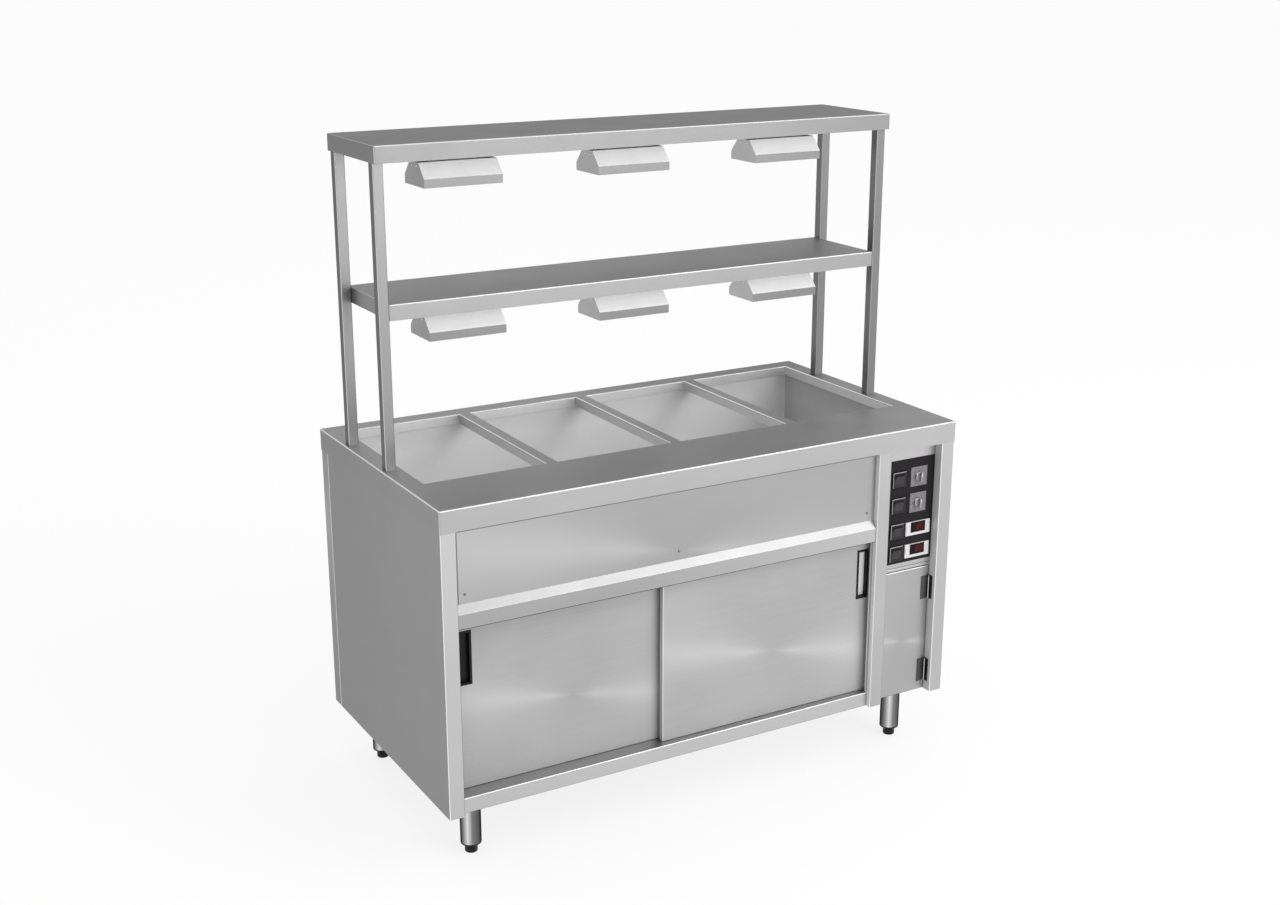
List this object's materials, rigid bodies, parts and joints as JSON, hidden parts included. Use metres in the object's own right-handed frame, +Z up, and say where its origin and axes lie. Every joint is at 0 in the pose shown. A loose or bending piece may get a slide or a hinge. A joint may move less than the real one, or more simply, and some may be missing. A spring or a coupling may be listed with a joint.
{
  "type": "hot food bain-marie",
  "caption": "Free-standing stainless hot food counter with pan wells over a heated cupboard with sliding doors, and a two-shelf gantry with heat lamps.",
  "frame": {"origin": "on the floor under the centre of the benchtop", "axes": "+X to the right along the front, +Y to the back, +Z up"},
  "size_m": [1.44, 0.75, 1.652],
  "materials": {
    "satin_stainless": "satin brushed stainless sheet",
    "hinge_steel": "darkened steel, worn bright on its edges",
    "black_plastic": "black moulded plastic, fine grain",
    "dark_overlay": "matt dark printed film",
    "dial_plate": "grey printed plate",
    "pale_plastic": "pale grey moulded plastic",
    "lamp_glass": "quartz tube lamps in white sockets",
    "valve_brass": "cast brass valve body",
    "element_sheath": "dark element sheath, heat tinted"
  },
  "bodies": {
    "root": {"benchtop": "satin_stainless", "water_tank": "satin_stainless", "tank_jacket": "satin_stainless", "heating_elements": "element_sheath", "element_guard": "satin_stainless", "drain_pipe": "satin_stainless", "drain_valve": "valve_brass", "left_side_panel": "satin_stainless", "right_side_panel": "satin_stainless", "back_panel": "satin_stainless", "mullion": "satin_stainless", "compartment_wall": "satin_stainless", "floor_panels": "satin_stainless", "base_channels": "satin_stainless", "bottom_rail": "satin_stainless", "upper_front_panel": "satin_stainless", "door_header": "satin_stainless", "door_tracks": "satin_stainless", "cupboard_shelf": "satin_stainless", "leg_tubes": "satin_stainless", "leg_collars": "black_plastic", "control_panel": "satin_stainless", "control_overlay": "dark_overlay", "switch_bezels": "black_plastic", "dial_plates": "dial_plate", "temperature_controllers": "pale_plastic", "bay_electrics": "black_plastic", "door_catch": "black_plastic", "hinge_fixed_leaves": "hinge_steel", "hinge_pins": "hinge_steel", "screws": "satin_stainless", "gantry_posts": "satin_stainless", "mid_shelf": "satin_stainless", "top_shelf": "satin_stainless", "lamp_housings": "satin_stainless", "lamp_tubes": "lamp_glass", "lamp_brackets": "satin_stainless"},
    "left_door": {"left_door": "satin_stainless", "left_door_pull": "black_plastic", "left_door_hangers": "satin_stainless"},
    "right_door": {"right_door": "satin_stainless", "right_door_pull": "black_plastic", "right_door_hangers": "satin_stainless"},
    "service_door": {"service_door": "satin_stainless", "hinge_moving_leaves": "hinge_steel"},
    "drain_lever": {"drain_lever": "satin_stainless"},
    "rocker_1": {"rocker_1": "black_plastic"},
    "rocker_2": {"rocker_2": "black_plastic"},
    "rocker_3": {"rocker_3": "black_plastic"},
    "rocker_4": {"rocker_4": "black_plastic"},
    "knob_1": {"knob_1": "dial_plate"},
    "knob_2": {"knob_2": "dial_plate"},
    "controller_key_1": {"controller_key_1": "pale_plastic"},
    "controller_key_2": {"controller_key_2": "pale_plastic"},
    "controller_key_3": {"controller_key_3": "pale_plastic"},
    "controller_key_4": {"controller_key_4": "pale_plastic"},
    "front_left_foot": {"front_left_foot": "black_plastic"},
    "front_right_foot": {"front_right_foot": "black_plastic"},
    "back_left_foot": {"back_left_foot": "black_plastic"},
    "back_right_foot": {"back_right_foot": "black_plastic"}
  },
  "joints": [
    {"name": "left_door_slide", "type": "slide", "parent": "root", "child": "left_door", "axis": [1, 0, 0], "range_m": [0, 0.5575]},
    {"name": "right_door_slide", "type": "slide", "parent": "root", "child": "right_door", "axis": [-1, 0, 0], "range_m": [0, 0.5575]},
    {"name": "service_door_swing", "type": "hinge", "parent": "root", "child": "service_door", "pos_m": [0.676, -0.3525, 0.33], "axis": [0, 0, 1], "range_deg": [0, 88]},
    {"name": "drain_lever_turn", "type": "hinge", "parent": "root", "child": "drain_lever", "pos_m": [0.5562, -0.1692, 0.36], "axis": [0, 1, 0], "range_deg": [0, 90]},
    {"name": "rocker_1_tip", "type": "hinge", "parent": "root", "child": "rocker_1", "pos_m": [0.564, -0.348, 0.75937], "axis": [1, 0, 0], "range_deg": [-20, 0]},
    {"name": "rocker_2_tip", "type": "hinge", "parent": "root", "child": "rocker_2", "pos_m": [0.564, -0.348, 0.68884], "axis": [1, 0, 0], "range_deg": [-20, 0]},
    {"name": "rocker_3_tip", "type": "hinge", "parent": "root", "child": "rocker_3", "pos_m": [0.564, -0.348, 0.61831], "axis": [1, 0, 0], "range_deg": [-20, 0]},
    {"name": "rocker_4_tip", "type": "hinge", "parent": "root", "child": "rocker_4", "pos_m": [0.564, -0.348, 0.55738], "axis": [1, 0, 0], "range_deg": [-20, 0]},
    {"name": "knob_1_turn", "type": "hinge", "parent": "root", "child": "knob_1", "pos_m": [0.629, -0.348, 0.75937], "axis": [0, 1, 0], "range_deg": [0, 300]},
    {"name": "knob_2_turn", "type": "hinge", "parent": "root", "child": "knob_2", "pos_m": [0.629, -0.348, 0.68884], "axis": [0, 1, 0], "range_deg": [0, 300]},
    {"name": "controller_key_1_press", "type": "slide", "parent": "root", "child": "controller_key_1", "axis": [0, 1, 0], "range_m": [0, 0.001], "stiffness_N_per_m": 400},
    {"name": "controller_key_2_press", "type": "slide", "parent": "root", "child": "controller_key_2", "axis": [0, 1, 0], "range_m": [0, 0.001], "stiffness_N_per_m": 400},
    {"name": "controller_key_3_press", "type": "slide", "parent": "root", "child": "controller_key_3", "axis": [0, 1, 0], "range_m": [0, 0.001], "stiffness_N_per_m": 400},
    {"name": "controller_key_4_press", "type": "slide", "parent": "root", "child": "controller_key_4", "axis": [0, 1, 0], "range_m": [0, 0.001], "stiffness_N_per_m": 400},
    {"name": "front_left_foot_screw", "type": "slide", "parent": "root", "child": "front_left_foot", "axis": [0, 0, -1], "range_m": [0, 0.03]},
    {"name": "front_right_foot_screw", "type": "slide", "parent": "root", "child": "front_right_foot", "axis": [0, 0, -1], "range_m": [0, 0.03]},
    {"name": "back_left_foot_screw", "type": "slide", "parent": "root", "child": "back_left_foot", "axis": [0, 0, -1], "range_m": [0, 0.03]},
    {"name": "back_right_foot_screw", "type": "slide", "parent": "root", "child": "back_right_foot", "axis": [0, 0, -1], "range_m": [0, 0.03]}
  ]
}
